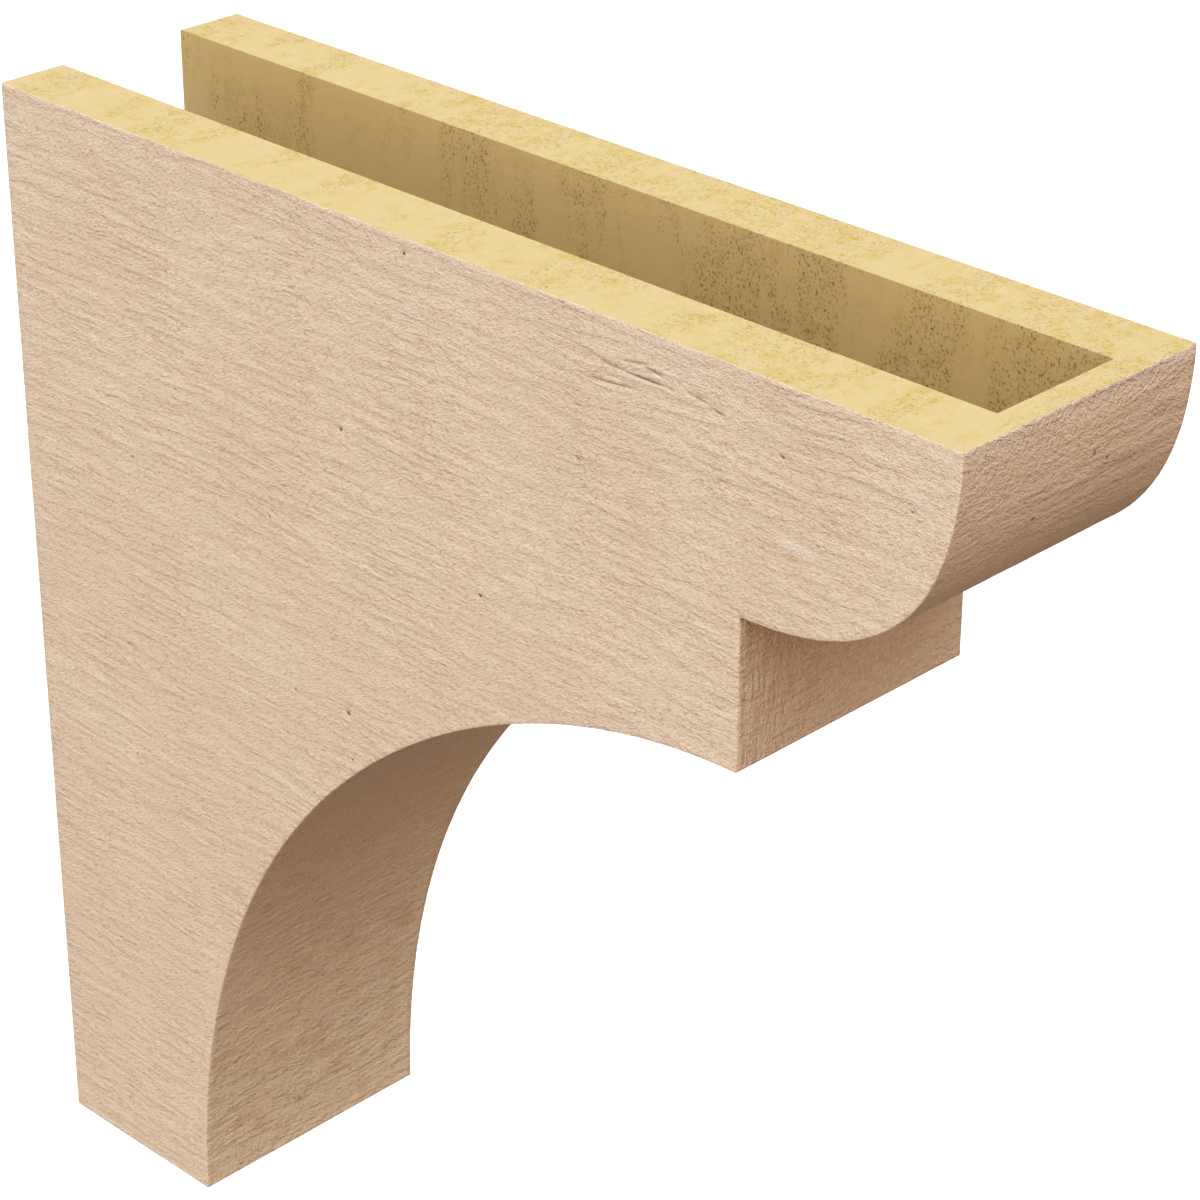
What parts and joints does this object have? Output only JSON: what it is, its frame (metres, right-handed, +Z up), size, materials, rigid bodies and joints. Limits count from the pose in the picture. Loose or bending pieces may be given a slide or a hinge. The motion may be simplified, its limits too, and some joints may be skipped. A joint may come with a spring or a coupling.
{
  "type": "corbel",
  "caption": "Hollow moulded corbel like a rough-sawn timber bracket: straight leg, concave arch, square step and rounded nose under a flat top.",
  "frame": {"origin": "on the wall plane, middle of the back edge of the foot's web, 4.8 mm above the underside of the foot", "axes": "+X from the wall out to the nose, +Y across the width, +Z up"},
  "size_m": [0.4064, 0.1016, 0.4064],
  "materials": {
    "primed_foam": "rigid urethane foam with a matt tan primer, rough-sawn texture; bare yellow foam on the rims and inside"
  },
  "bodies": {
    "root": {"corbel": "primed_foam"}
  },
  "joints": []
}
